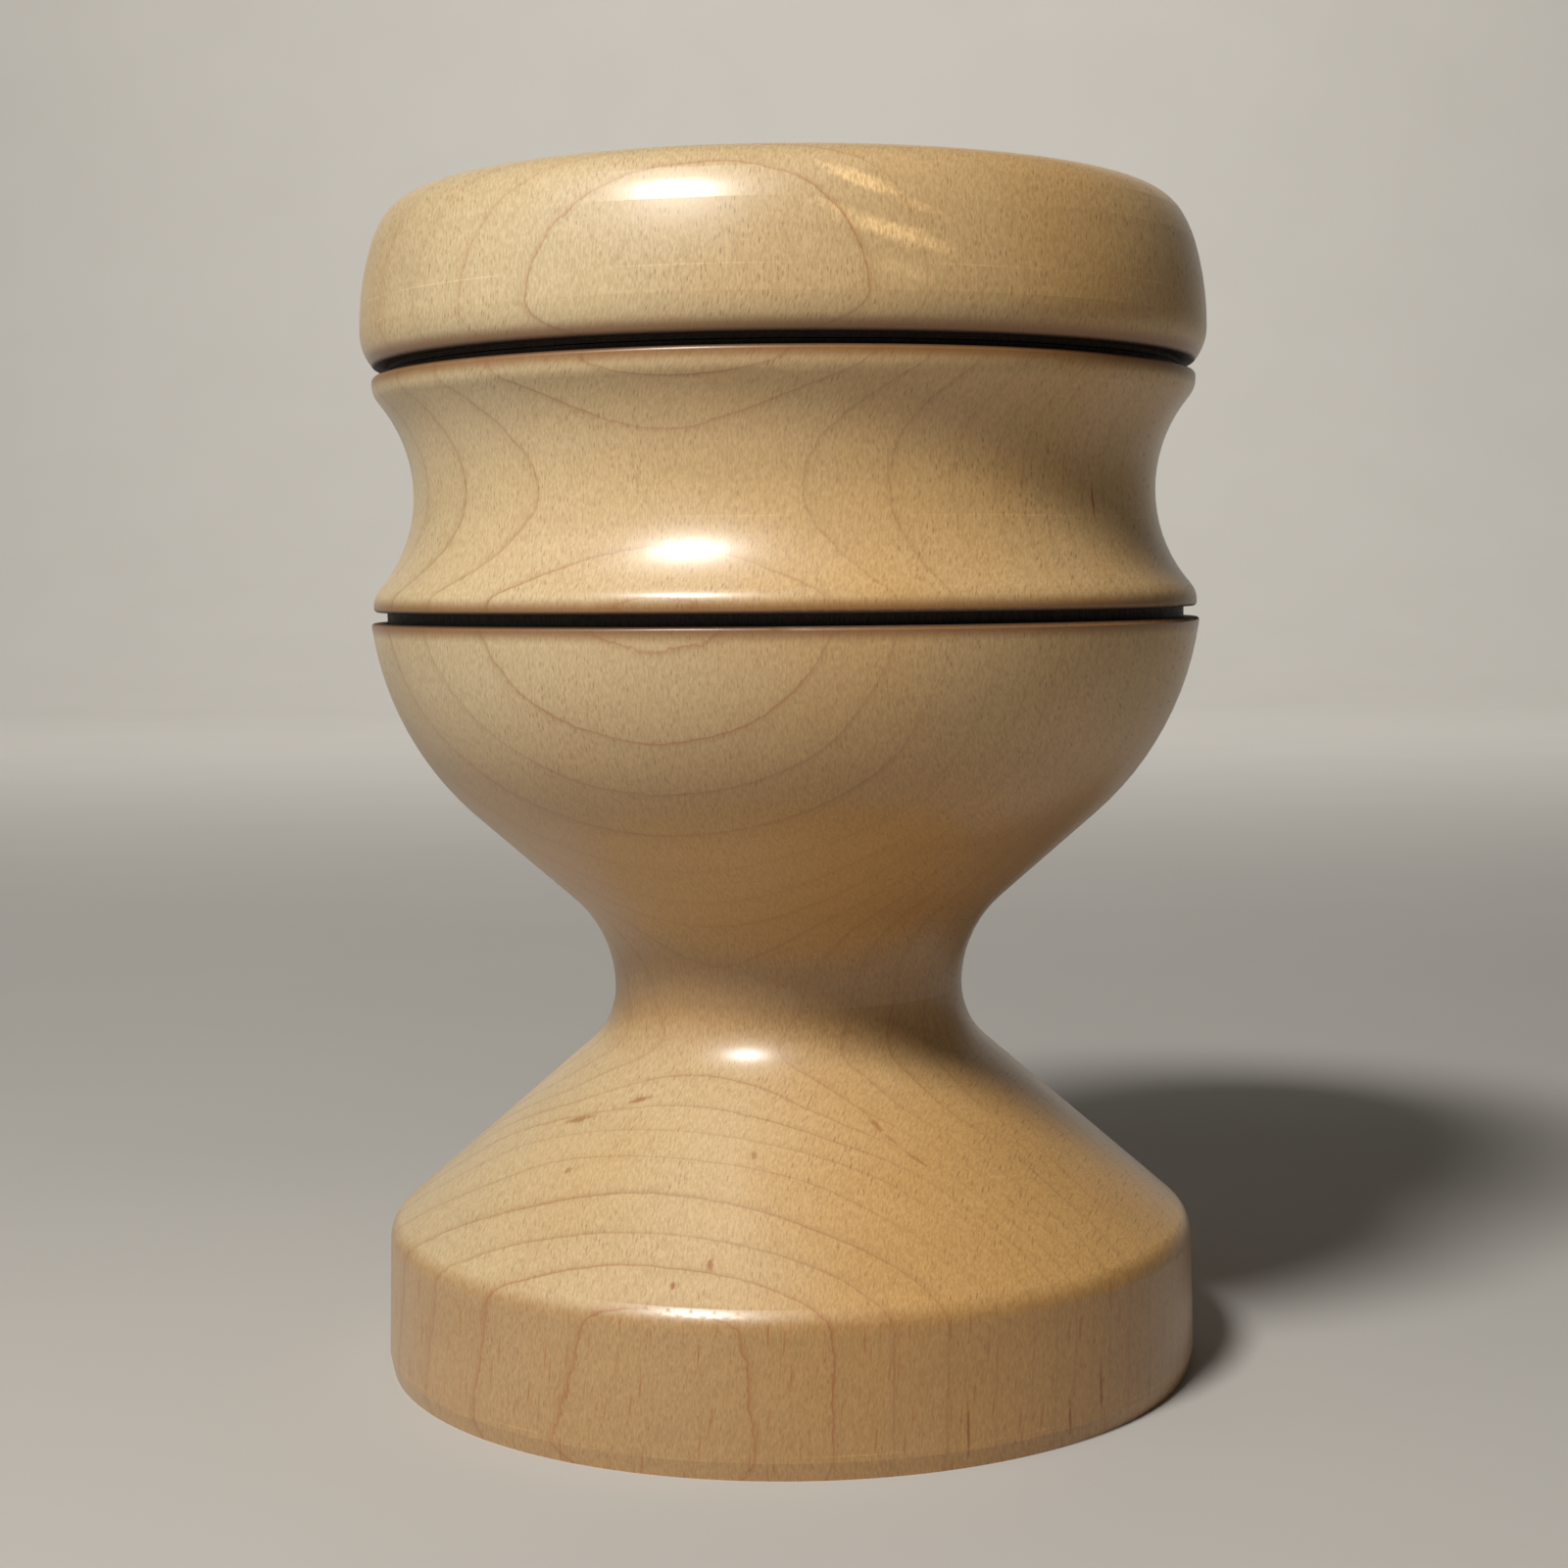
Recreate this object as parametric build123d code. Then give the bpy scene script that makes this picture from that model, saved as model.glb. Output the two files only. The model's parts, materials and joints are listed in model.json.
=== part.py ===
from build123d import *

import os
from math import cos, pi, radians, sin, sqrt

# Turned maple hand shaker: a hollow head on a waisted pedestal, closed by a push-fit cap, with steel
# shot in it. Millimetres, +Z up. The origin is the centre of the foot's underside. Everything but the
# shot is a body of revolution about Z, so each turned piece is one closed outline of (radius, height)
# points, spun round the axis.

# --- Pedestal, outside ----------------------------------------------------------------------------
FOOT_R = 36.3  # widest part of the foot, just above its bevel
FOOT_TOP_R = 36.0  # the foot's side leans in a little towards its top edge
BEVEL_WIDTH = 0.3
BEVEL_HEIGHT = 1.5
FOOT_EDGE_ROUND = 2.4  # where the foot's side turns into the cone
CONE_ANGLE = 49.2  # of the cone's flank, from vertical
NECK_R = 15.62
NECK_Z = 33.4
NECK_LOWER_ARC = 7.0  # hollow between the cone and the neck
NECK_UPPER_ARC = 11.0  # hollow between the neck and the bowl
FLANK_ANGLE = 48.4  # of the straight run under the bowl, from vertical
BOWL_ARC = 27.0
BOWL_RIM_R = 36.6

# --- Grooves: each hides the seam between two pieces ----------------------------------------------
LOWER_SEAM_Z = 66.65
UPPER_SEAM_Z = 87.8
GROOVE_HALF_HEIGHT = 0.47
GROOVE_DEPTH = 1.4
GROOVE_EDGE_ROUND = 0.3

# --- Cove ring, outside ---------------------------------------------------------------------------
COVE_WAIST_R = 32.73
COVE_WAIST_Z = 77.3
COVE_ARC = 12.5
LOWER_LIP_R = 36.35
UPPER_LIP_R = 36.15
LIP_ROUND = 2.2  # where the cove turns into a lip
LIP_EDGE_ROUND = 0.35

# --- Cap, outside ---------------------------------------------------------------------------------
CAP_R = 37.1
CAP_WIDEST_Z = 91.2
CAP_UNDER_ARC = 4.4
CAP_SIDE_ARC = 25.5
CAP_SIDE_ANGLE = 16.0  # from vertical, where the side starts to turn in faster
CAP_TURN_ARC = 10.0
CAP_TURN_ANGLE = 31.0  # from vertical, where the turn runs into the shoulder
CAP_TOP_Z = 102.8
DISH_R = 28.0  # shallow dish in the cap's top
DISH_DEPTH = 1.6
DISH_EDGE_ROUND = 2.0

# --- Inside ---------------------------------------------------------------------------------------
CHAMBER_R = 28.5
CHAMBER_FLOOR_Z = 44.0
CHAMBER_FLOOR_ARC = 32.0  # spherical floor
SOCKET_R = 32.0  # rebate in the bowl's rim that takes the cove ring's spigot
SOCKET_DEPTH = 5.0
GLUE_GAP = 0.05
SEAM_GAP = 0.08  # between the cap's and the cove ring's meeting faces
SPIGOT_R = 28.2  # cap's spigot, loose in the chamber's bore: the seal rings hold it
SPIGOT_LENGTH = 9.5
SPIGOT_BORE_R = 24.0
CEILING_EDGE_Z = 92.0
CEILING_Z = 98.0
LEAD_IN = 0.6

# --- Seal rings, drawn at their squeezed size -----------------------------------------------------
SEAL_DROPS = {"cap_seal_upper": 2.9, "cap_seal_lower": 6.5}  # how far each ring sits below the upper seam
SEAL_THICKNESS = 1.8
SEAL_HEIGHT = 2.1
SEAL_CLEARANCE = 0.09
SEAL_GROOVE_HEIGHT = 2.5

# --- Cork pad let into the foot's underside -------------------------------------------------------
RECESS_R = 27.0
RECESS_DEPTH = 3.0
PAD_GAP = 0.2
PAD_THICKNESS = 2.6
PAD_EDGE_ROUND = 0.5

# --- Loose shot: steel balls, lying in rings on the chamber's floor -------------------------------
SHOT_R = 2.25
SHOT_PITCH = 4.75  # from ring to ring
SHOT_FLOOR_GAP = 0.25
SHOT_RINGS = ((1, 0), (5, 11), (10, 40), (15, 23))  # balls in each ring, and the first one's angle
SHOT_WANDER = 0.1  # how unevenly a ring's balls lie, as a share of their spacing
SHOT_WANDER_STEP = 2.4


def spin(outline, rounds=()):
    """A solid of revolution about Z from a closed list of edges in (radius, height), after rounding some
    corners. Each round is ((radius, height) of the corner, round's radius)."""
    with BuildPart() as turned:
        with BuildSketch(Plane.XZ) as section:
            with BuildLine():
                for edge in outline:
                    add(edge)
            make_face()
            for place, radius in rounds:
                corner = section.vertices().sort_by_distance(Vector(*place))[0]
                fillet(corner, radius)
        revolve(axis=Axis.Z)
    return turned.part


def runs(*points):
    """Straight edges through the points."""
    return [Edge.make_line(Vector(*a), Vector(*b)) for a, b in zip(points, points[1:])]


def arc(centre, radius, start, end):
    """An edge on a circle about centre, from angle start to angle end, in degrees from the +radius way."""

    def at(angle):
        turn = radians(angle)
        return Vector(centre[0] + radius * cos(turn), centre[1] + radius * sin(turn))

    return Edge.make_three_point_arc(at(start), at((start + end) / 2), at(end))


def arc_to(start, end, radius, hollow=False):
    """The shorter arc of that radius between two points of an outline that runs upwards. It bulges away from
    the axis, or towards it if hollow."""
    (r0, z0), (r1, z1) = start, end
    length = sqrt((r1 - r0) ** 2 + (z1 - z0) ** 2)
    rise = radius - sqrt(radius**2 - length**2 / 4)
    side = -1 if hollow else 1
    out_r, out_z = side * (z1 - z0) / length, side * (r0 - r1) / length
    middle = Vector((r0 + r1) / 2 + rise * out_r, (z0 + z1) / 2 + rise * out_z)
    return Edge.make_three_point_arc(Vector(*start), middle, Vector(*end))


def bowl_start(flank_start):
    """Where the straight flank under the bowl meets the bowl's arc, which ends at the rim."""
    along = (sin(radians(FLANK_ANGLE)), cos(radians(FLANK_ANGLE)))
    centre = (flank_start[0] - BOWL_ARC * along[1], flank_start[1] + BOWL_ARC * along[0])
    to_rim = (BOWL_RIM_R - centre[0], LOWER_SEAM_Z - GROOVE_HALF_HEIGHT - centre[1])
    forward = to_rim[0] * along[0] + to_rim[1] * along[1]
    run = forward - sqrt(forward**2 + BOWL_ARC**2 - to_rim[0] ** 2 - to_rim[1] ** 2)
    return (flank_start[0] + run * along[0], flank_start[1] + run * along[1])


def make_pedestal():
    """Foot, cone, neck and bowl, turned as one piece and hollowed from the top."""
    cone, flank = radians(CONE_ANGLE), radians(FLANK_ANGLE)
    groove_z = LOWER_SEAM_Z - GROOVE_HALF_HEIGHT
    foot_rim = (FOOT_R - BEVEL_WIDTH, 0)
    foot_widest = (FOOT_R, BEVEL_HEIGHT)
    neck_start = (NECK_R + NECK_LOWER_ARC * (1 - cos(cone)), NECK_Z - NECK_LOWER_ARC * sin(cone))
    neck = (NECK_R, NECK_Z)
    neck_end = (NECK_R + NECK_UPPER_ARC * (1 - cos(flank)), NECK_Z + NECK_UPPER_ARC * sin(flank))
    cone_foot = (FOOT_TOP_R, neck_start[1] - (FOOT_TOP_R - neck_start[0]) * cos(cone) / sin(cone))
    bowl = bowl_start(neck_end)
    rim = (BOWL_RIM_R, groove_z)
    groove_floor_r = BOWL_RIM_R - GROOVE_DEPTH
    floor_centre_z = CHAMBER_FLOOR_Z + CHAMBER_FLOOR_ARC
    wall_z = floor_centre_z - sqrt(CHAMBER_FLOOR_ARC**2 - CHAMBER_R**2)
    socket_z = LOWER_SEAM_Z - SOCKET_DEPTH

    outline = runs((RECESS_R, 0), foot_rim, foot_widest, cone_foot, neck_start)
    outline += [arc_to(neck_start, neck, NECK_LOWER_ARC, hollow=True)]
    outline += [arc_to(neck, neck_end, NECK_UPPER_ARC, hollow=True)]
    outline += runs(neck_end, bowl)
    outline += [arc_to(bowl, rim, BOWL_ARC)]
    outline += runs(rim, (groove_floor_r, groove_z), (groove_floor_r, LOWER_SEAM_Z))
    outline += runs((groove_floor_r, LOWER_SEAM_Z), (SOCKET_R, LOWER_SEAM_Z), (SOCKET_R, socket_z))
    outline += runs((SOCKET_R, socket_z), (CHAMBER_R, socket_z), (CHAMBER_R, wall_z))
    outline += [arc_to((0, CHAMBER_FLOOR_Z), (CHAMBER_R, wall_z), CHAMBER_FLOOR_ARC)]
    outline += runs((0, CHAMBER_FLOOR_Z), (0, RECESS_DEPTH), (RECESS_R, RECESS_DEPTH), (RECESS_R, 0))
    return spin(outline, [(cone_foot, FOOT_EDGE_ROUND), (rim, GROOVE_EDGE_ROUND)])


def make_cove_ring():
    """The hollow-sided ring between the two grooves. A spigot below it is glued into the bowl's rim."""
    lower_z = LOWER_SEAM_Z + GROOVE_HALF_HEIGHT
    upper_z = UPPER_SEAM_Z - GROOVE_HALF_HEIGHT
    spigot_r = SOCKET_R - GLUE_GAP
    spigot_z = LOWER_SEAM_Z - SOCKET_DEPTH + GLUE_GAP

    def cove_height(radius):
        """How far from its waist the cove has widened to that radius."""
        return sqrt(COVE_ARC**2 - (COVE_WAIST_R + COVE_ARC - radius) ** 2)

    cove_low = (LOWER_LIP_R, COVE_WAIST_Z - cove_height(LOWER_LIP_R))
    cove_high = (UPPER_LIP_R, COVE_WAIST_Z + cove_height(UPPER_LIP_R))
    lower_lip, upper_lip = (LOWER_LIP_R, lower_z), (UPPER_LIP_R, upper_z)
    lower_floor_r = BOWL_RIM_R - GROOVE_DEPTH
    upper_floor_r = UPPER_LIP_R - GROOVE_DEPTH

    outline = runs((CHAMBER_R, spigot_z), (spigot_r, spigot_z), (spigot_r, LOWER_SEAM_Z))
    outline += runs((spigot_r, LOWER_SEAM_Z), (lower_floor_r, LOWER_SEAM_Z), (lower_floor_r, lower_z))
    outline += runs((lower_floor_r, lower_z), lower_lip, cove_low)
    outline += [arc_to(cove_low, cove_high, COVE_ARC, hollow=True)]
    outline += runs(cove_high, upper_lip, (upper_floor_r, upper_z), (upper_floor_r, UPPER_SEAM_Z))
    outline += runs((upper_floor_r, UPPER_SEAM_Z), (CHAMBER_R + LEAD_IN, UPPER_SEAM_Z))
    outline += runs((CHAMBER_R + LEAD_IN, UPPER_SEAM_Z), (CHAMBER_R, UPPER_SEAM_Z - LEAD_IN))
    outline += runs((CHAMBER_R, UPPER_SEAM_Z - LEAD_IN), (CHAMBER_R, spigot_z))
    rounds = [(cove_low, LIP_ROUND), (cove_high, LIP_ROUND)]
    rounds += [(lower_lip, LIP_EDGE_ROUND), (upper_lip, LIP_EDGE_ROUND)]
    return spin(outline, rounds)


def shoulder_arcs():
    """The cap's outline from its widest point to its level top: three arcs, each turning in faster than the
    one below, as (centre, radius, start angle, end angle)."""
    side_centre = (CAP_R - CAP_SIDE_ARC, CAP_WIDEST_Z)
    side_lean, turn_lean = radians(CAP_SIDE_ANGLE), radians(CAP_TURN_ANGLE)
    inset = CAP_SIDE_ARC - CAP_TURN_ARC
    turn_centre = (side_centre[0] + inset * cos(side_lean), side_centre[1] + inset * sin(side_lean))
    turn_end_z = turn_centre[1] + CAP_TURN_ARC * sin(turn_lean)
    radius = (CAP_TOP_Z - turn_end_z) / (1 - sin(turn_lean))
    centre = (turn_centre[0] + (CAP_TURN_ARC - radius) * cos(turn_lean), CAP_TOP_Z - radius)
    return (
        (side_centre, CAP_SIDE_ARC, 0, CAP_SIDE_ANGLE),
        (turn_centre, CAP_TURN_ARC, CAP_SIDE_ANGLE, CAP_TURN_ANGLE),
        (centre, radius, CAP_TURN_ANGLE, 90),
    )


def make_cap():
    """Rounded cap with a dished top. Its spigot slides into the chamber's bore and carries the seals."""
    lower_z = UPPER_SEAM_Z + GROOVE_HALF_HEIGHT
    floor_r = UPPER_LIP_R - GROOVE_DEPTH
    drop = CAP_WIDEST_Z - lower_z
    edge_r = CAP_R - CAP_UNDER_ARC + sqrt(CAP_UNDER_ARC**2 - drop**2)
    shoulder = shoulder_arcs()
    top_edge = (shoulder[-1][0][0], CAP_TOP_Z)
    dish_arc = (DISH_R**2 + DISH_DEPTH**2) / (2 * DISH_DEPTH)
    ceiling_rise = CEILING_Z - CEILING_EDGE_Z
    ceiling_arc = (SPIGOT_BORE_R**2 + ceiling_rise**2) / (2 * ceiling_rise)
    spigot_z = UPPER_SEAM_Z - SPIGOT_LENGTH
    seat_z = UPPER_SEAM_Z + SEAM_GAP
    dish_edge = (DISH_R, CAP_TOP_Z)

    outline = runs((SPIGOT_BORE_R, spigot_z), (SPIGOT_R - LEAD_IN, spigot_z), (SPIGOT_R, spigot_z + LEAD_IN))
    outline += runs((SPIGOT_R, spigot_z + LEAD_IN), (SPIGOT_R, seat_z), (floor_r, seat_z))
    outline += runs((floor_r, seat_z), (floor_r, lower_z), (edge_r, lower_z))
    outline += [arc_to((edge_r, lower_z), (CAP_R, CAP_WIDEST_Z), CAP_UNDER_ARC)]
    outline += [arc(*turn) for turn in shoulder]
    outline += runs(top_edge, dish_edge)
    outline += [arc_to((0, CAP_TOP_Z - DISH_DEPTH), dish_edge, dish_arc)]
    outline += runs((0, CAP_TOP_Z - DISH_DEPTH), (0, CEILING_Z))
    outline += [arc_to((SPIGOT_BORE_R, CEILING_EDGE_Z), (0, CEILING_Z), ceiling_arc)]
    outline += runs((SPIGOT_BORE_R, CEILING_EDGE_Z), (SPIGOT_BORE_R, spigot_z))
    cap = spin(outline, [((edge_r, lower_z), GROOVE_EDGE_ROUND), (dish_edge, DISH_EDGE_ROUND)])
    for seal_drop in SEAL_DROPS.values():
        cap -= seal_groove(seal_drop)
    return cap


def seal_inner_r():
    """Inner radius of a seal ring, which is its groove's floor."""
    return CHAMBER_R - SEAL_CLEARANCE - SEAL_THICKNESS


def seal_groove(drop):
    """The ring of wood cut away for one seal."""
    outer = Cylinder(SPIGOT_R + 1, SEAL_GROOVE_HEIGHT)
    inner = Cylinder(seal_inner_r(), SEAL_GROOVE_HEIGHT)
    return Pos(0, 0, UPPER_SEAM_Z - drop) * (outer - inner)


def make_seal(drop):
    """A rubber ring squeezed between its groove and the bore, so its section is an ellipse."""
    middle_r = seal_inner_r() + SEAL_THICKNESS / 2
    with BuildPart() as seal:
        with BuildSketch(Plane.XZ):
            with Locations((middle_r, UPPER_SEAM_Z - drop)):
                Ellipse(SEAL_THICKNESS / 2, SEAL_HEIGHT / 2)
        revolve(axis=Axis.Z)
    return seal.part


def make_foot_pad():
    """Cork disc glued up into the foot's recess, clear of the table."""
    outer_r = RECESS_R - PAD_GAP
    low_z = RECESS_DEPTH - PAD_THICKNESS
    outline = runs((0, low_z), (outer_r, low_z), (outer_r, RECESS_DEPTH), (0, RECESS_DEPTH), (0, low_z))
    return spin(outline, [((outer_r, low_z), PAD_EDGE_ROUND)])


def make_shot(ring, turn):
    """One loose ball, resting on the chamber's spherical floor, in a ring and at an angle about the axis."""
    out = ring * SHOT_PITCH
    rest_arc = CHAMBER_FLOOR_ARC - SHOT_R - SHOT_FLOOR_GAP
    height = CHAMBER_FLOOR_Z + CHAMBER_FLOOR_ARC - sqrt(rest_arc**2 - out**2)
    return Pos(out * cos(turn), out * sin(turn), height) * Sphere(SHOT_R)


def shot_places():
    """Ring and angle, in radians, of every ball, from the middle outwards."""
    places = []
    for ring, (count, first) in enumerate(SHOT_RINGS):
        for ball in range(count):
            step = ball + SHOT_WANDER * sin(SHOT_WANDER_STEP * ball)
            places.append((ring, radians(first) + 2 * pi * step / count))
    return places


def main():
    os.makedirs("parts", exist_ok=True)
    nodes = {
        "pedestal": make_pedestal(),
        "cove_ring": make_cove_ring(),
        "cap": make_cap(),
        "foot_pad": make_foot_pad(),
    }
    for name, drop in SEAL_DROPS.items():
        nodes[name] = make_seal(drop)
    for number, place in enumerate(shot_places(), start=1):
        nodes[f"shot_{number:02d}"] = make_shot(*place)
    for name, shape in nodes.items():
        export_step(shape, f"parts/{name}.step")


main()
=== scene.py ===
"""Looks, light and camera for the turned maple shaker.

The wood is one solid texture in the row frame, so its growth rings run through the pedestal, the cove
ring and the cap as they do in pieces cut from one blank. Blender objects are in metres. Inside the
materials, lengths are in millimetres.
"""

import json
from math import cos, pi, radians, sin

import bpy
from mathutils import Euler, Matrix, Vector

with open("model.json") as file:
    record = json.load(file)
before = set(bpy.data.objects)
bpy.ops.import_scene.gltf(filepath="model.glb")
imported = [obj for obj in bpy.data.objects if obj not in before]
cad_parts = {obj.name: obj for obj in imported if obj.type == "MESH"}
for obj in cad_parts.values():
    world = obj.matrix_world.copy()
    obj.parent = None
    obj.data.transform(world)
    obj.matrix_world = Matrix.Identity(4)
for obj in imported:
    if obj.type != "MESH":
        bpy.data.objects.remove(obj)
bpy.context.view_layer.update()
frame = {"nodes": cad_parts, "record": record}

MM = 0.001

# --- Growth rings, in millimetres and degrees ----------------------------------------------------
RING_SPACING = 2.77
OUTER_RING = 35.8  # from the axis to the outermost growth line on the front
WOOD_OUTSIDE_RINGS = 1.2  # no more lines this far outside the outermost one
RING_CROWDING = 0.3  # how far, in rings, slow and fast years shift the lines
CROWDING_LENGTH = 19.4
RING_CURVE = 570.0  # radius of the growth rings, which are almost flat this far from the pith
RING_SKEW = 1.75e-4  # makes their curve uneven from one side of the piece to the other
GRAIN_DRIFT = 1.1  # how far the rings wander from their smooth shape, over a few centimetres
GENTLEST_SLOPE = 0.3  # lines widen only where the surface cuts the rings more shallowly than this
# Height and azimuth of where the growth rings lie flat to the surface. The grain is not quite straight.
FACING = (
    (0, -18.2), (12, -16.8), (24, -21.0), (42, -20.5),
    (58, -16.5), (68, -15.5), (80, -15.5), (92, -9.0),
)
# Height, and how far the rings there lie inwards of their place at the waist.
RING_SHIFT = (
    (1, 0.55), (12, 0.4), (15.5, 1.2), (20, 0.8), (26, -1.9), (28.5, -1.7), (34, 0.0),
    (52, 0.0), (64, -0.15), (74, 0.0), (84, 0.1), (91, 0.82),
)
LINE_AFTER = 0.17  # how far the thin line of a ring fades inwards
LINE_BEFORE = 0.14  # and outwards
SHADE_AFTER = 0.75  # the same for the wider shade beside it
SHADE_BEFORE = 0.3

# --- Places on the shaker, in millimetres: heights, and radii from the axis -----------------------
# Pairs of heights: where a zone starts to show, and where it shows fully.
WALL_TOP = (13.4, 11.5)
# Where the foot's wall turns browner: partly the wood's colour, partly painted shade.
WALL_BROWNING = (13.6, 12.0)
WAIST_BELOW = (26.0, 34.0)
WAIST_ABOVE = (64.0, 48.0)
CAP_FROM = (86.0, 90.0)
CHAMBER_FLOOR = (42.5, 43.0)
CHAMBER_CEILING = (99.6, 99.2)
CHAMBER_BOWL_TOP = 62.0  # above it the chamber's wall is straight
CHAMBER_FLOOR_R = 14.0  # wider than the chamber at its floor
SEAM_HEIGHTS = (66.65, 87.8)
SEAM_FACE_HALF_GAP = 0.35
BURN_FULL = 0.42  # half the height of the black part of a burned line
BURN_EDGE = 0.8
TOAST_AND_SHADE_FULL = 0.75  # half the height of the browned part round it: the burn's scorch, and painted shade beside the grooves
TOAST_AND_SHADE_EDGE = 1.9
SEAM_FACE_R = 34.3  # radius below which the seams are hidden and were never burned
CHAMBER_WALL_R = 31.0  # wider than the chamber, narrower than the outside

# --- How strong each layer of the wood's look is --------------------------------------------------
LINE_STRENGTH = 0.60
WALL_LINE_STRENGTH = 0.85
SHADE_STRENGTH = 0.14
FLECK_STRENGTH = 0.50
WALL_FLECK_STRENGTH = 0.55
# The waist and the foot's wall are coloured browner than the rest: partly the wood's own colour, partly
# painted shade.
WAIST_BROWN_AND_SHADE = 0.68
WALL_BROWN_AND_SHADE = 0.62
RAW_STRENGTH = 0.55
TOAST_AND_SHADE_STRENGTH = 0.85
TOOL_LINE_STRENGTH = 0.16
FIBRE_DEPTH = 0.0022  # millimetres, as are the three below
FLECK_DEPTH = 0.0032
TURNING_DEPTH = 0.0010
BURN_DEPTH = 0.05
COAT_WEIGHT = 0.65
COAT_ROUGHNESS = 0.26
COAT_IOR = 1.5

# --- Colours, linear ------------------------------------------------------------------------------
PALE_MAPLE = (0.61, 0.475, 0.275)
# Warmer maple, which also serves as the painted shade of the right-hand side.
WARM_MAPLE_AND_SIDE_SHADE = (0.60, 0.345, 0.120)
# The browner colour of the waist and the foot's wall: partly the wood's colour, partly painted shade.
BROWN_MAPLE_AND_PAINTED_SHADE = (0.38, 0.190, 0.058)
RING_BROWN = (0.29, 0.140, 0.050)
RING_RED = (0.36, 0.115, 0.030)
FLECK_BROWN = (0.27, 0.135, 0.055)
STREAK_BROWN = (0.30, 0.095, 0.018)
# Brown of the band round each seam: the burn's real scorch, and painted shade under the cap's rounded lower
# edge.
TOASTED_AND_SHADED = (0.23, 0.085, 0.018)
BURNED = (0.011, 0.006, 0.004)
RAW_MAPLE = (0.62, 0.47, 0.30)

# Streaks in the wood: azimuth, height, half width, half height, rise for each millimetre across, strength.
MINERAL_MARKS = (
    (-11.5, 15.9, 0.36, 0.46, 0.0, 0.75),
    (-16.0, 14.5, 0.24, 0.30, 0.0, 0.80),
    (-7.0, 22.9, 0.30, 0.32, 0.0, 0.60),
    (-44.0, 20.7, 0.45, 0.26, 0.2, 0.50),
    (-52.2, 23.9, 1.60, 0.26, 0.3, 0.60),
    (-38.2, 26.0, 1.30, 0.24, 0.3, 0.65),
    (18.8, 24.7, 0.55, 0.45, -0.9, 0.50),
    (20.8, 23.7, 0.60, 0.26, -0.8, 0.35),
    (24.5, 22.2, 0.80, 0.22, -0.7, 0.45),
    (22.3, 3.0, 0.16, 2.70, 0.0, 0.90),
    (37.9, 2.4, 0.19, 1.80, 0.0, 0.90),
    (43.8, 4.0, 0.22, 2.40, 0.0, 0.90),
    (49.3, 75.7, 0.20, 1.50, 0.0, 0.80),
)
# Pale bands over the cap's curl figure: real figure, with its sheen painted as fixed brighter bands. Same
# columns as the streaks above.
CURL_SHEEN_BANDS = (
    (9.5, 99.5, 3.3, 0.75, -0.38, 0.50),
    (13.5, 95.5, 4.6, 0.85, -0.27, 0.50),
    (6.5, 97.2, 2.6, 0.55, -0.30, 0.22),
    (16.0, 97.6, 2.2, 0.50, -0.30, 0.20),
    (14.5, 92.6, 2.6, 0.70, -0.30, 0.16),
)
TOOL_LINES = (2.0, 74.6, 93.2)  # heights of the faint lines that the turning tool left

# --- Stage, light and camera, in metres, degrees and watts ----------------------------------------
FLOOR_HALF = 1.6
BACK_RISE = 1.4
BACK_BEND = 0.5
BEND_STEPS = 24
STUDIO_WHITE = (1.0, 0.98, 0.95)
FILL_WHITE = (1.0, 0.96, 0.90)
ROOM_WHITE = (1.0, 0.92, 0.80)
ROOM_LIGHT = 0.055  # what lights the shaker
ROOM_SEEN = 0.5  # what shows behind it, past the floor
CAMERA_PLACE = (-0.00026, -0.2284, 0.0699)
CAMERA_LENS = 58.47  # millimetres, with a 36 mm wide sensor
CAMERA_DIP = 4.647
CAMERA_LEAN = -0.503


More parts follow.
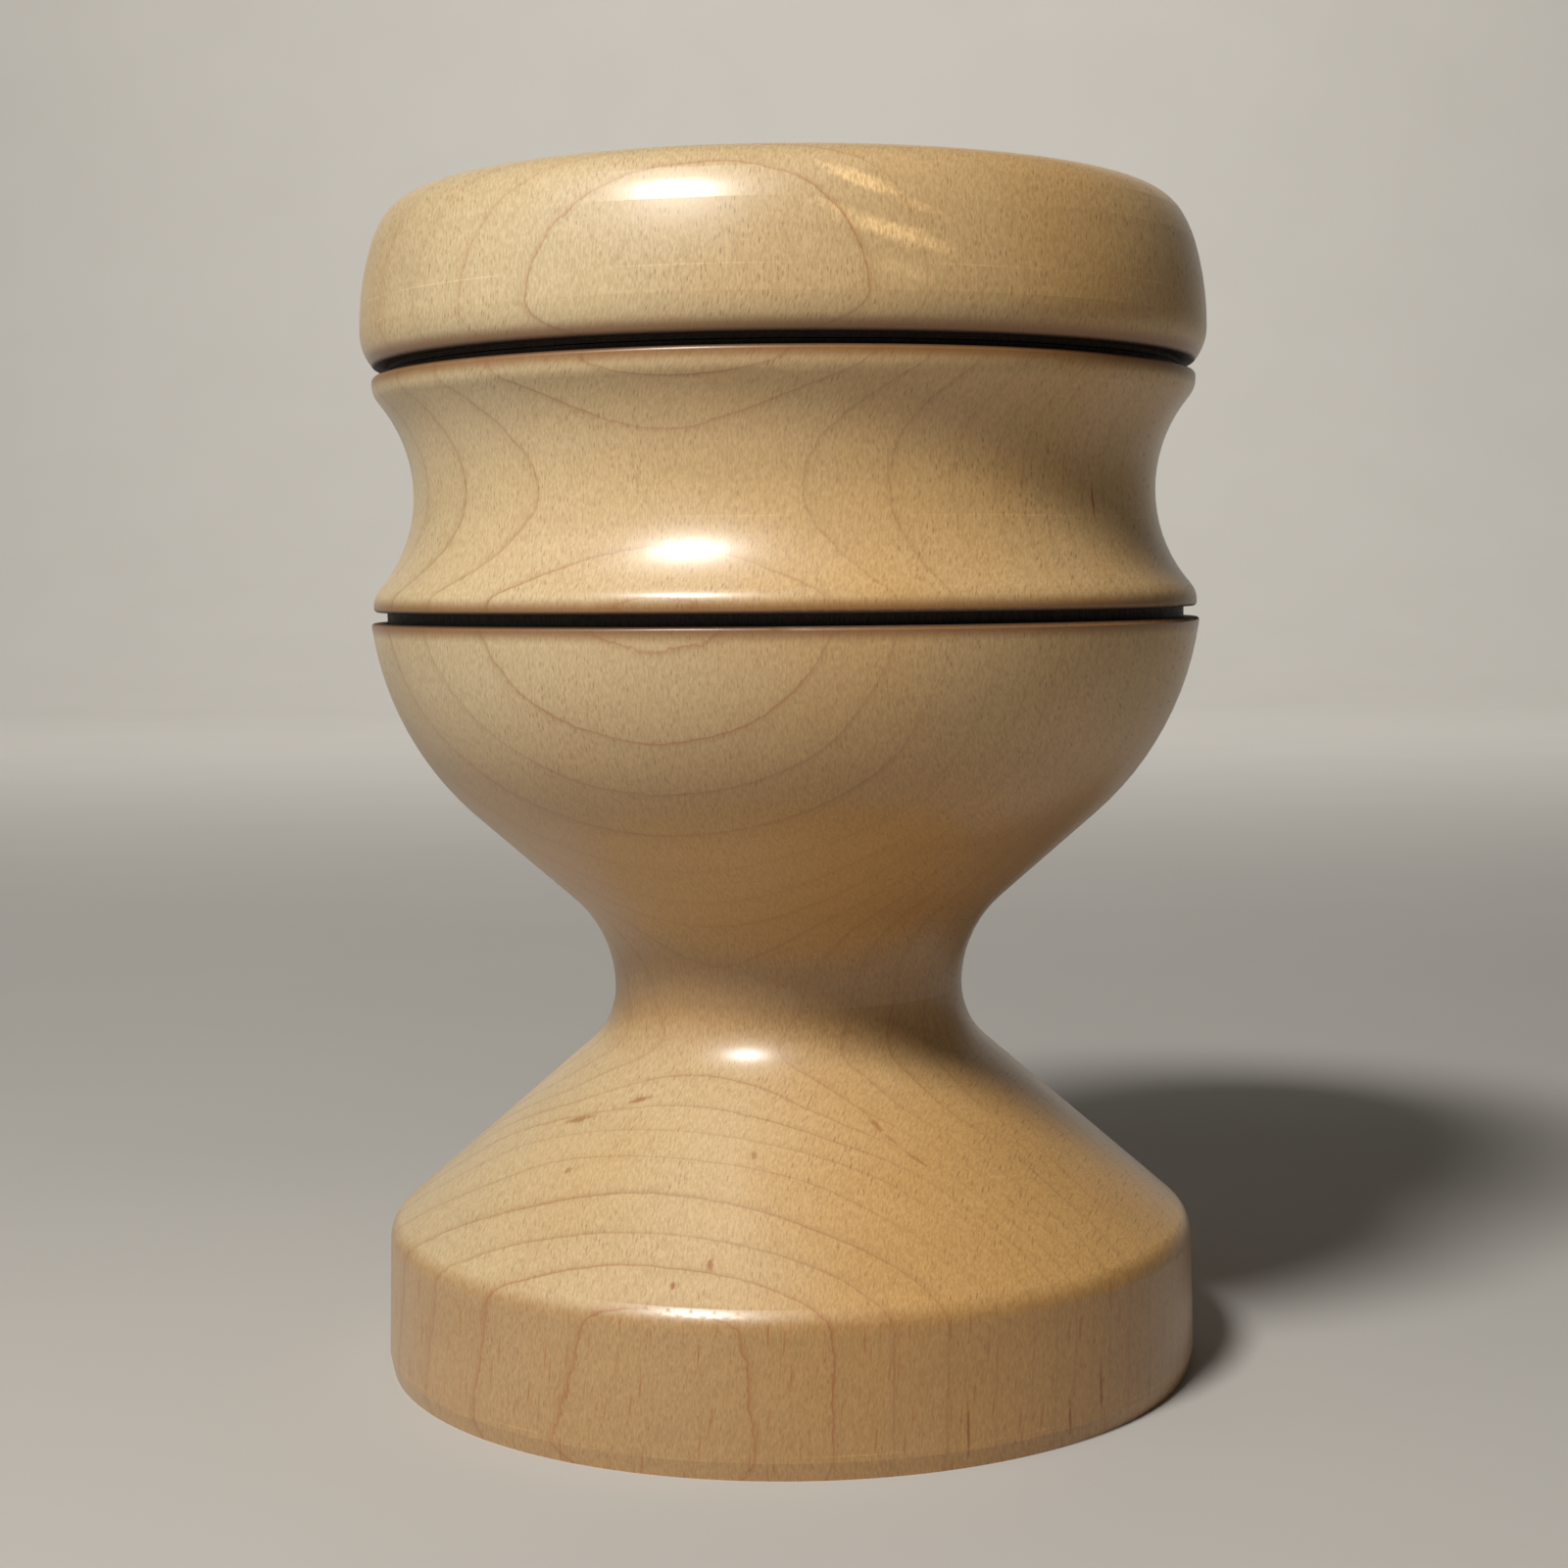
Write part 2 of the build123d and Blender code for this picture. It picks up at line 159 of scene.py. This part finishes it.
class Graph:
    """A material and the nodes that feed its shader. Every input is a socket or a plain number."""

    def __init__(self, name):
        self.material = bpy.data.materials.new(name)
        self.material.use_nodes = True
        self.nodes = self.material.node_tree.nodes
        self.links = self.material.node_tree.links
        self.shader = self.nodes["Principled BSDF"]

    def put(self, socket, value):
        if isinstance(value, bpy.types.NodeSocket):
            self.links.new(value, socket)
        else:
            socket.default_value = value

    def node(self, kind, inputs=(), **settings):
        """A node with its settings and its inputs, which are a dict of socket name or number to value."""
        made = self.nodes.new(kind)
        for name, value in settings.items():
            setattr(made, name, value)
        for name, value in dict(inputs).items():
            self.put(made.inputs[name], value)
        return made

    def math(self, operation, *values, clamp=False):
        made = self.node("ShaderNodeMath", dict(enumerate(values)), operation=operation, use_clamp=clamp)
        return made.outputs[0]

    def add(self, *values):
        total = values[0]
        for value in values[1:]:
            total = self.math("ADD", total, value)
        return total

    def times(self, *values):
        product = values[0]
        for value in values[1:]:
            product = self.math("MULTIPLY", product, value)
        return product

    def minus(self, a, b):
        return self.math("SUBTRACT", a, b)

    def step(self, value, low, high):
        """0 below low, 1 above high, smooth between. With low above high it falls instead of rising."""
        ends = (low, high, 0.0, 1.0) if low < high else (high, low, 1.0, 0.0)
        inputs = dict(zip(("From Min", "From Max", "To Min", "To Max"), ends))
        inputs["Value"] = value
        return self.node("ShaderNodeMapRange", inputs, interpolation_type="SMOOTHSTEP").outputs["Result"]

    def spread(self, value, low, high):
        """A straight map of 0 to 1 onto low to high."""
        return self.add(self.times(value, high - low), low)

    def decay(self, value, length):
        """1 at value 0, falling off over a length."""
        return self.math("EXPONENT", self.times(value, -1.0 / length))

    def vector(self, operation, a, b=None, scale=None):
        made = self.node("ShaderNodeVectorMath", operation=operation)
        self.put(made.inputs[0], a)
        if b is not None:
            self.put(made.inputs[1], b)
        if scale is not None:
            self.put(made.inputs["Scale"], scale)
        return made.outputs["Value" if operation in ("LENGTH", "DOT_PRODUCT") else "Vector"]

    def join(self, x, y, z):
        return self.node("ShaderNodeCombineXYZ", {"X": x, "Y": y, "Z": z}).outputs[0]

    def split(self, vector):
        return self.node("ShaderNodeSeparateXYZ", {0: vector}).outputs

    def noise(self, place, sizes, detail=2.0, roughness=0.5, output="Fac"):
        """Noise with lumps about that big, in millimetres: one size, or one along each axis."""
        sizes = sizes if isinstance(sizes, tuple) else (sizes,) * 3
        scaled = self.vector("MULTIPLY", place, tuple(1.0 / size for size in sizes))
        inputs = {"Vector": scaled, "Scale": 1.0, "Detail": detail, "Roughness": roughness}
        return self.node("ShaderNodeTexNoise", inputs).outputs[output]

    def grains(self, place, cells, half_sizes, share):
        """Separate soft-edged grains. cells is how far apart they lie along each axis, half_sizes how big
        they are, and share how many cells hold one. Gives 1 inside a grain, weaker in some than in others,
        and 0 outside."""
        scaled = self.vector("MULTIPLY", place, tuple(1.0 / cell for cell in cells))
        cell = self.node("ShaderNodeTexVoronoi", {"Vector": scaled, "Scale": 1.0})
        offset = self.vector("SUBTRACT", scaled, cell.outputs["Position"])
        shape = tuple(c / half for c, half in zip(cells, half_sizes))
        reach = self.vector("LENGTH", self.vector("MULTIPLY", offset, shape))
        chance = self.node("ShaderNodeSeparateColor", {0: cell.outputs["Color"]}).outputs[0]
        return self.times(self.step(reach, 1.0, 0.35), self.step(chance, 1.0 - share, 1.0))

    def mix(self, amount, below, above):
        made = self.node("ShaderNodeMix", data_type="RGBA")
        self.put(made.inputs[0], amount)
        for socket, value in ((made.inputs[6], below), (made.inputs[7], above)):
            is_colour = isinstance(value, tuple) and len(value) == 3
            self.put(socket, (*value, 1.0) if is_colour else value)
        return made.outputs[2]

    def bump(self, *heights_and_depths):
        """Bumps on top of each other. Each is (height socket, depth in millimetres)."""
        normal = None
        for height, depth in heights_and_depths:
            inputs = {"Height": height, "Distance": depth * MM, "Strength": 1.0}
            if normal is not None:
                inputs["Normal"] = normal
            normal = self.node("ShaderNodeBump", inputs).outputs[0]
        self.put(self.shader.inputs["Normal"], normal)

    def finish(self, **inputs):
        """Sets the shader's inputs, named as Blender names them but with _ for a space."""
        for name, value in inputs.items():
            socket = self.shader.inputs[name.replace("_", " ")]
            self.put(socket, (*value, 1.0) if isinstance(value, tuple) and len(value) == 3 else value)
        return self.material

    def place(self):
        """The point being shaded, in the row frame, in millimetres."""
        return self.vector("SCALE", self.node("ShaderNodeTexCoord").outputs["Object"], scale=1.0 / MM)


# --- Materials ------------------------------------------------------------------------------------
def along_height(g, height, stops):
    """A value that goes smoothly from stop to stop. Each stop is (height, value)."""
    value = stops[0][1]
    for (low, start), (high, end) in zip(stops, stops[1:]):
        value = g.add(value, g.times(g.step(height, low, high), end - start))
    return value


def turn_to_grain(g, vector, facing):
    """The vector's parts as seen from the tree: across the growth rings' face, out from the pith, and up."""
    inputs = {"Vector": vector, "Angle": g.times(facing, -1.0)}
    turned = g.node("ShaderNodeVectorRotate", inputs, rotation_type="Z_AXIS").outputs[0]
    across, inward, up = g.split(turned)
    return across, g.times(inward, -1.0), up


def tree_frame(g, place, height):
    """The point as seen from the tree, and how steeply the surface cuts the growth rings there."""
    facing = along_height(g, height, tuple((z, radians(azimuth)) for z, azimuth in FACING))
    wander = g.noise(place, (26.0, 26.0, 34.0), detail=1.0, output="Color")
    drift = g.vector("SUBTRACT", wander, (0.5, 0.5, 0.5))
    wavy = g.vector("ADD", place, g.vector("SCALE", drift, scale=GRAIN_DRIFT))
    across, outward, up = turn_to_grain(g, wavy, facing)
    normal = g.node("ShaderNodeTexCoord").outputs["Normal"]
    tilt_across, _, tilt_up = turn_to_grain(g, normal, facing)
    tilt = g.vector("LENGTH", g.join(tilt_across, tilt_up, 0.0))
    return across, outward, up, g.math("MAXIMUM", tilt, GENTLEST_SLOPE)


def ring_count(g, place, height, across, outward):
    """How many growth rings lie outside this point. The whole part changes at each ring's line."""
    bend = g.times(across, across, 0.5 / RING_CURVE)
    skew = g.times(g.times(across, across, across), -RING_SKEW)
    inward = g.minus(OUTER_RING, g.add(outward, bend, skew, along_height(g, height, RING_SHIFT)))
    coarse = g.spread(g.noise(place, 2.6, detail=2.0), -0.13, 0.13)
    fine = g.spread(g.noise(place, 0.5), -0.05, 0.05)
    depth = g.math("MAXIMUM", g.add(inward, g.add(coarse, fine)), -WOOD_OUTSIDE_RINGS)
    crowding = g.times(g.math("SINE", g.times(depth, 2 * pi / CROWDING_LENGTH)), RING_CROWDING)
    return g.add(g.times(depth, 1.0 / RING_SPACING), crowding)


def growth_rings(g, place, height, across, outward, slope):
    """How dark the growth ring is here, as two layers: the thin line where it ends, and the shade beside it.
    Then 0 for the two outermost rings and 1 further in, and 1 for the outermost one alone. slope is how
    steeply the surface cuts the rings, and keeps the line about as thin where the cut is a shallow one."""
    count = ring_count(g, place, height, across, outward)
    within = g.math("FRACT", count)
    after = g.math("DIVIDE", g.times(within, RING_SPACING), slope)
    before = g.math("DIVIDE", g.times(g.minus(1.0, within), RING_SPACING), slope)
    inner = g.step(count, 1.25, 1.5)
    outermost = g.step(count, 0.6, 0.4)

    chance = g.node("ShaderNodeTexWhiteNoise", {"W": g.math("FLOOR", count)}, noise_dimensions="1D")
    by_year = g.add(1.0, g.times(inner, g.spread(chance.outputs["Value"], -0.7, -0.1)))
    on_flank = g.spread(g.step(across, 10.0, 24.0), 1.0, 0.6)
    on_cap = g.spread(g.times(g.step(count, 0.4, 0.6), g.step(height, *CAP_FROM)), 1.0, 0.5)
    patchy = g.step(g.noise(place, 13.0), 0.3, 0.68)
    strength = g.times(by_year, on_flank, on_cap, g.spread(patchy, 0.55, 1.0))
    line = g.math("MAXIMUM", g.decay(after, LINE_AFTER), g.step(before, LINE_BEFORE, 0.0))
    shade = g.math("MAXIMUM", g.decay(after, SHADE_AFTER), g.decay(before, SHADE_BEFORE))
    return g.times(line, strength), g.times(shade, strength), inner, outermost


def seam_band(g, height, full, edge):
    """1 within that half height of a seam, fading to 0 at its edge."""
    band = 0.0
    for seam in SEAM_HEIGHTS:
        away = g.math("ABSOLUTE", g.minus(height, seam))
        band = g.math("MAXIMUM", band, g.step(away, edge, full))
    return band


def inside(g, radius, height):
    """1 on what only shows with the cap off: the chamber, the cap's underside and the seam faces."""
    up_the_bowl = g.step(height, CHAMBER_FLOOR[1], CHAMBER_BOWL_TOP)
    limit = g.spread(up_the_bowl, CHAMBER_FLOOR_R, CHAMBER_WALL_R)
    within = g.times(g.step(height, *CHAMBER_FLOOR), g.step(height, *CHAMBER_CEILING))
    chamber = g.times(g.math("LESS_THAN", radius, limit), within)
    away = g.math("ABSOLUTE", g.minus(height, SEAM_HEIGHTS[1]))
    beside_seam = g.math("LESS_THAN", away, SEAM_FACE_HALF_GAP)
    seam_face = g.times(g.math("LESS_THAN", radius, SEAM_FACE_R), beside_seam)
    return g.math("MAXIMUM", chamber, seam_face)


def streaks(g, place, height, shapes):
    """How strong the streak is here, from a list of known streaks. Each is ragged at its edges."""
    ragged = g.spread(g.noise(place, 0.5, detail=2.0), -0.5, 0.5)
    found = 0.0
    for azimuth, middle, half_width, half_height, slant, strength in shapes:
        turn = radians(azimuth)
        across = g.vector("DOT_PRODUCT", place, (cos(turn), sin(turn), 0.0))
        ahead = g.vector("DOT_PRODUCT", place, (sin(turn), -cos(turn), 0.0))
        rise = g.minus(g.minus(height, middle), g.times(across, slant))
        shape = g.join(g.times(across, 1.0 / half_width), g.times(rise, 1.0 / half_height), 0.0)
        reach = g.add(g.vector("LENGTH", shape), ragged)
        streak = g.times(g.step(reach, 1.2, 0.3), g.math("GREATER_THAN", ahead, 0.0), strength)
        found = g.math("MAXIMUM", found, streak)
    return found


def tool_lines(g, place, height):
    """1 on the faint pale lines that the turning tool left round the wood, which come and go."""
    lines = 0.0
    for line_height in TOOL_LINES:
        away = g.math("ABSOLUTE", g.minus(height, line_height))
        lines = g.math("MAXIMUM", lines, g.step(away, 0.11, 0.02))
    return g.times(lines, g.step(g.noise(place, 16.0), 0.42, 0.6))


def plain_wood(g, place, tree, height, across, fibre):
    """The wood's colour before any ring, fleck or mark is laid over it."""
    cloud = g.step(g.noise(place, (24.0, 24.0, 40.0), detail=3.0), 0.32, 0.68)
    low = g.step(height, 75.0, 8.0)
    # Warmer and darker towards the right-hand side (+X): painted shade where the light falls off that side.
    flank = g.step(across, -16.0, 28.0)
    by_place = g.add(g.times(low, 0.16), g.times(flank, 0.62))
    warmth_and_side_shade = g.math("ADD", g.times(cloud, 0.28), by_place, clamp=True)
    # Browner at the waist and on the foot's wall: partly the wood's colour, partly painted shade.
    waist = g.times(g.step(height, *WAIST_BELOW), g.step(height, *WAIST_ABOVE))
    brown = g.add(g.times(waist, WAIST_BROWN_AND_SHADE), g.times(g.step(height, *WALL_BROWNING), WALL_BROWN_AND_SHADE))
    colour = g.mix(brown, g.mix(warmth_and_side_shade, PALE_MAPLE, WARM_MAPLE_AND_SIDE_SHADE), BROWN_MAPLE_AND_PAINTED_SHADE)

    curl = g.step(g.noise(tree, (30.0, 16.0, 5.0), detail=2.0), 0.3, 0.7)
    fine_fibre = g.step(g.noise(tree, (0.10, 0.3, 0.36), detail=1.0), 0.36, 0.64)
    value = g.add(0.84, g.times(fibre, 0.15), g.times(fine_fibre, 0.10), g.times(curl, 0.06))
    tone = g.join(value, g.math("POWER", value, 1.15), g.math("POWER", value, 1.4))
    return g.vector("MULTIPLY", colour, tone)


def ringed(g, colour, place, wall, rings):
    """The colour with the growth rings laid over it. Some lines are brown, some more red."""
    line, shade, inner, outermost = rings
    red = g.times(g.step(g.noise(place, 15.0), 0.36, 0.52), g.spread(inner, 1.0, 0.3))
    red = g.math("MAXIMUM", red, g.times(outermost, 0.8))
    colour = g.mix(g.times(shade, SHADE_STRENGTH), colour, RING_BROWN)
    darkness = g.times(line, g.spread(wall, LINE_STRENGTH, WALL_LINE_STRENGTH))
    return g.mix(darkness, colour, g.mix(red, RING_BROWN, RING_RED))


def brightened(g, colour, place, height, fibre):
    """The colour with its pale curl bands, the curl figure's shifting sheen painted as fixed brighter bands,
    and the tool's faint lines.
    """
    curl_sheen = g.times(streaks(g, place, height, CURL_SHEEN_BANDS), g.spread(fibre, 0.75, 1.1))
    bright = g.math("MAXIMUM", curl_sheen, g.times(tool_lines(g, place, height), TOOL_LINE_STRENGTH))
    return g.vector("SCALE", colour, scale=g.add(1.0, bright))


def maple():
    g = Graph("friction_polished_maple")
    place = g.place()
    x, y, height = g.split(place)
    radius = g.vector("LENGTH", g.join(x, y, 0.0))
    across, outward, up, slope = tree_frame(g, place, height)
    tree = g.join(across, outward, up)
    wall = g.step(height, *WALL_TOP)
    fibre = g.step(g.noise(tree, (0.16, 0.6, 0.62), detail=1.5, roughness=0.6), 0.36, 0.64)

    flecky = g.spread(g.step(g.noise(place, 8.0, detail=3.0), 0.34, 0.62), 0.55, 1.25)
    flecks = g.times(g.grains(tree, (0.36, 1.8, 0.70), (0.080, 1.1, 0.33), 1.0), flecky)
    wall_flecks = g.times(g.grains(tree, (0.66, 2.4, 3.4), (0.13, 1.7, 1.5), 0.8), wall)
    elsewhere = g.vector("ADD", tree, (31.0, 17.0, 5.0))
    specks = g.grains(elsewhere, (8.0, 8.0, 9.0), (0.28, 0.4, 0.4), 0.35)
    marks = g.math("MAXIMUM", g.times(specks, 0.6), streaks(g, place, height, MINERAL_MARKS))
    raw = inside(g, radius, height)
    outside = g.step(radius, SEAM_FACE_R - 0.3, SEAM_FACE_R)
    burned = g.times(seam_band(g, height, BURN_FULL, BURN_EDGE), outside)
    # The band round each seam: the burn's real scorch, widened by painted shade beside the grooves, as under
    # the cap's rounded lower edge.
    toast_and_shade = g.times(seam_band(g, height, TOAST_AND_SHADE_FULL, TOAST_AND_SHADE_EDGE), outside)

    colour = plain_wood(g, place, tree, height, across, fibre)
    colour = ringed(g, colour, place, wall, growth_rings(g, place, height, across, outward, slope))
    colour = g.mix(g.times(flecks, FLECK_STRENGTH), colour, FLECK_BROWN)
    colour = g.mix(g.times(wall_flecks, WALL_FLECK_STRENGTH), colour, RING_RED)
    colour = g.mix(marks, colour, STREAK_BROWN)
    colour = brightened(g, colour, place, height, fibre)
    colour = g.mix(g.times(raw, RAW_STRENGTH), colour, RAW_MAPLE)
    colour = g.mix(g.times(toast_and_shade, TOAST_AND_SHADE_STRENGTH), colour, TOASTED_AND_SHADED)
    colour = g.mix(g.times(burned, g.spread(fibre, 0.92, 1.0)), colour, BURNED)

    turning = g.noise(g.join(0.0, 0.0, height), 0.16, detail=2.0)
    g.bump((fibre, FIBRE_DEPTH), (flecks, -FLECK_DEPTH), (turning, TURNING_DEPTH), (burned, -BURN_DEPTH))
    roughness = g.add(0.40, g.times(fibre, 0.10), g.times(raw, 0.2), g.times(burned, 0.2))
    coated = g.times(g.minus(1.0, g.times(raw, 0.85)), g.minus(1.0, g.times(burned, 0.9)))
    return g.finish(
        Base_Color=colour,
        Roughness=roughness,
        Coat_Weight=g.times(coated, COAT_WEIGHT),
        Coat_Roughness=COAT_ROUGHNESS,
        Coat_IOR=COAT_IOR,
    )


def seal_rubber():
    g = Graph("black_seal_rubber")
    place = g.place()
    bloom = g.step(g.noise(place, 1.6, detail=4.0), 0.4, 0.75)
    grain = g.noise(place, 0.12, detail=2.0)
    colour = g.mix(g.times(bloom, 0.4), (0.012, 0.012, 0.013), (0.045, 0.043, 0.040))
    g.bump((grain, 0.01))
    return g.finish(Base_Color=colour, Roughness=g.spread(bloom, 0.42, 0.6))


def shot_steel():
    g = Graph("bright_shot_steel")
    place = g.place()
    film = g.noise(place, 1.4, detail=3.0)
    scuff = g.step(g.noise(place, (0.25, 0.6, 0.25), detail=4.0), 0.55, 0.75)
    colour = g.mix(film, (0.48, 0.48, 0.50), (0.62, 0.61, 0.60))
    g.bump((scuff, 0.004))
    return g.finish(Base_Color=colour, Metallic=1.0, Roughness=g.spread(scuff, 0.16, 0.34))


def cork():
    g = Graph("composition_cork")
    place = g.place()
    scaled = g.vector("SCALE", place, scale=0.62)
    granule = g.node("ShaderNodeTexVoronoi", {"Vector": scaled, "Scale": 1.0})
    cracks = g.node("ShaderNodeTexVoronoi", {"Vector": scaled, "Scale": 1.0}, feature="DISTANCE_TO_EDGE")
    gap = cracks.outputs[0]
    tone = g.node("ShaderNodeSeparateColor", {0: granule.outputs["Color"]}).outputs[0]
    speckle = g.noise(place, 0.35, detail=3.0)
    colour = g.mix(tone, (0.36, 0.21, 0.10), (0.55, 0.36, 0.19))
    colour = g.mix(g.times(g.step(speckle, 0.58, 0.7), 0.6), colour, (0.12, 0.06, 0.03))
    colour = g.mix(g.times(g.step(gap, 0.09, 0.0), 0.7), colour, (0.14, 0.075, 0.035))
    g.bump((g.step(gap, 0.0, 0.16), 0.12), (speckle, 0.08))
    return g.finish(Base_Color=colour, Roughness=g.spread(speckle, 0.75, 0.95))


def dress_nodes():
    """Gives every CAD node its material, by the record's material slot."""
    made = {"maple": maple(), "seal_rubber": seal_rubber(), "shot_steel": shot_steel(), "cork": cork()}
    for part in frame["record"]["subparts"]:
        node = frame["nodes"][part["node"]]
        for slot in node.material_slots:
            slot.material = made[part["material_slot"]]


# --- Stage ----------------------------------------------------------------------------------------
def add_stage():
    """A pale floor that curves up into a backdrop."""
    edge = [(-FLOOR_HALF, 0.0), (FLOOR_HALF - BACK_BEND, 0.0)]
    for step in range(1, BEND_STEPS + 1):
        turn = 0.5 * pi * step / BEND_STEPS
        edge.append((FLOOR_HALF - BACK_BEND + BACK_BEND * sin(turn), BACK_BEND * (1 - cos(turn))))
    edge.append((FLOOR_HALF, BACK_RISE))
    points = [(side * FLOOR_HALF, y, z) for y, z in edge for side in (-1, 1)]
    faces = [(2 * i, 2 * i + 1, 2 * i + 3, 2 * i + 2) for i in range(len(edge) - 1)]
    mesh = bpy.data.meshes.new("floor")
    mesh.from_pydata(points, [], faces)
    mesh.shade_smooth()
    floor = bpy.data.objects.new("floor", mesh)
    bpy.context.scene.collection.objects.link(floor)
    g = Graph("pale_floor")
    mottle = g.noise(g.place(), 60.0, detail=2.0)
    colour = g.mix(mottle, (0.50, 0.48, 0.445), (0.53, 0.51, 0.475))
    mesh.materials.append(g.finish(Base_Color=colour, Roughness=0.8))


def add_softbox(name, target, azimuth, elevation, distance, size, power, colour, shape="RECTANGLE"):
    """An area light aimed at a point. Azimuth 0 is in front, and it grows to the right."""
    turn, rise = radians(azimuth), radians(elevation)
    way = Vector((sin(turn) * cos(rise), -cos(turn) * cos(rise), sin(rise)))
    light = bpy.data.lights.new(name, "AREA")
    light.shape = shape
    light.size, light.size_y = size
    light.energy = power
    light.color = colour
    lamp = bpy.data.objects.new(name, light)
    lamp.location = Vector(target) + way * distance
    lamp.rotation_euler = (-way).to_track_quat("-Z", "Y").to_euler()
    bpy.context.scene.collection.objects.link(lamp)


def add_lights():
    middle = (0.0, 0.0, 0.06)
    add_softbox(
        "key", middle, azimuth=-33.0, elevation=47.0, distance=0.62,
        size=(0.18, 0.10), power=4.1, colour=STUDIO_WHITE, shape="ELLIPSE",
    )
    add_softbox(
        "left_fill", middle, azimuth=-80.0, elevation=22.0, distance=0.9,
        size=(0.7, 0.6), power=0.4, colour=FILL_WHITE,
    )
    add_softbox(
        "backdrop_light", (0.0, FLOOR_HALF, 0.25), azimuth=0.0, elevation=35.0, distance=1.1,
        size=(1.6, 0.5), power=13.0, colour=STUDIO_WHITE,
    )


def add_room():
    """A dim warm room all round, which looks brighter to the camera than it lights the shaker."""
    world = bpy.data.worlds.new("studio")
    world.use_nodes = True
    nodes, links = world.node_tree.nodes, world.node_tree.links
    nodes["Background"].inputs["Color"].default_value = (*ROOM_WHITE, 1.0)
    ray = nodes.new("ShaderNodeLightPath")
    level = nodes.new("ShaderNodeMapRange")
    level.inputs["To Min"].default_value = ROOM_LIGHT
    level.inputs["To Max"].default_value = ROOM_SEEN
    links.new(ray.outputs["Is Camera Ray"], level.inputs["Value"])
    links.new(level.outputs["Result"], nodes["Background"].inputs["Strength"])
    bpy.context.scene.world = world
    bpy.context.scene.view_settings.view_transform = "Standard"


def add_camera():
    """Stands a little below the cap's top, looking slightly down."""
    data = bpy.data.cameras.new("camera")
    data.sensor_width = 36.0
    data.lens = CAMERA_LENS
    data.clip_start = 0.01
    camera = bpy.data.objects.new("camera", data)
    camera.location = CAMERA_PLACE
    look = Euler((radians(90.0 - CAMERA_DIP), 0.0, 0.0)).to_matrix()
    lean = Euler((0.0, 0.0, radians(CAMERA_LEAN))).to_matrix()
    camera.rotation_euler = (look @ lean).to_euler()
    bpy.context.scene.collection.objects.link(camera)
    bpy.context.scene.camera = camera


add_camera()
dress_nodes()
add_stage()
add_lights()
add_room()
